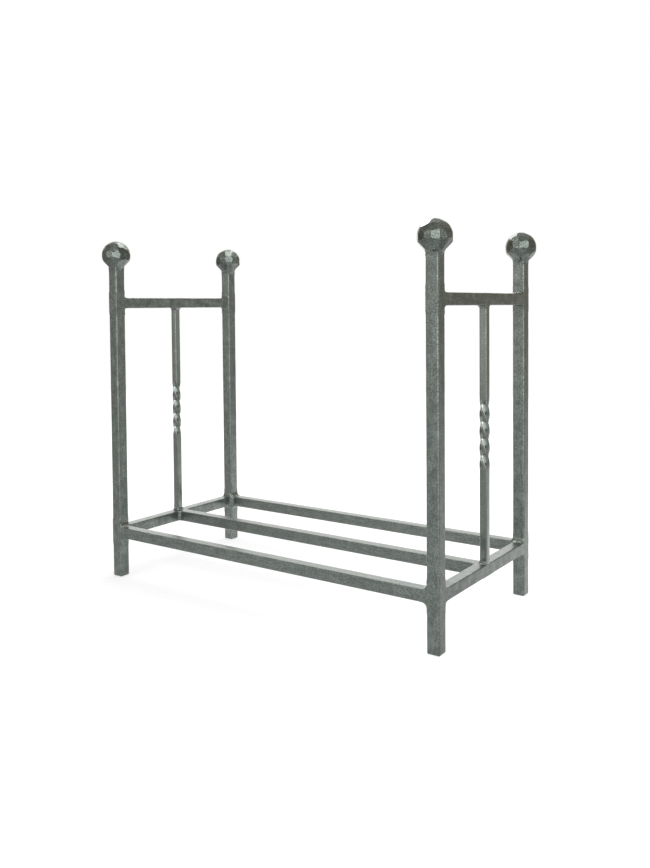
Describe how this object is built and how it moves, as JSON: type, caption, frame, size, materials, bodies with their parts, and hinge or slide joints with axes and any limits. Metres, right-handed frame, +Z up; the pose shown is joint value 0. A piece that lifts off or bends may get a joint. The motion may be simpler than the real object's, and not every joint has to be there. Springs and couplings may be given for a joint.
{
  "type": "log holder",
  "caption": "Welded steel log holder: square posts crowned with hammered balls, rails that carry the logs, and end frames with twisted spindles.",
  "frame": {"origin": "on the floor, midway between the four posts", "axes": "+X along the long rails to the right, +Y from the front to the rear, +Z up"},
  "size_m": [0.68, 0.345, 0.5924],
  "materials": {
    "patinated_bar": "mottled pewter-grey patina, waxed, corners burnished",
    "twisted_bar": "mottled pewter-grey patina, waxed, corners of the twist burnished",
    "hammered_ball": "hammered flats, pewter-grey patina, burnished",
    "weld_bead": "rippled weld metal, wire brushed"
  },
  "bodies": {
    "root": {"post_front_left": "patinated_bar", "post_front_right": "patinated_bar", "post_rear_left": "patinated_bar", "post_rear_right": "patinated_bar", "long_rail_front": "patinated_bar", "long_rail_middle": "patinated_bar", "long_rail_rear": "patinated_bar", "cross_rail_left": "patinated_bar", "cross_rail_right": "patinated_bar", "top_rail_left": "patinated_bar", "top_rail_right": "patinated_bar", "spindle_left": "twisted_bar", "spindle_right": "twisted_bar", "finial_front_left": "hammered_ball", "finial_front_right": "hammered_ball", "finial_rear_left": "hammered_ball", "finial_rear_right": "hammered_ball", "finial_welds": "weld_bead", "long_rail_welds": "weld_bead", "cross_rail_welds": "weld_bead", "top_rail_welds": "weld_bead", "corner_welds": "weld_bead", "middle_rail_welds": "weld_bead", "spindle_foot_welds": "weld_bead", "spindle_top_welds": "weld_bead"}
  },
  "joints": []
}
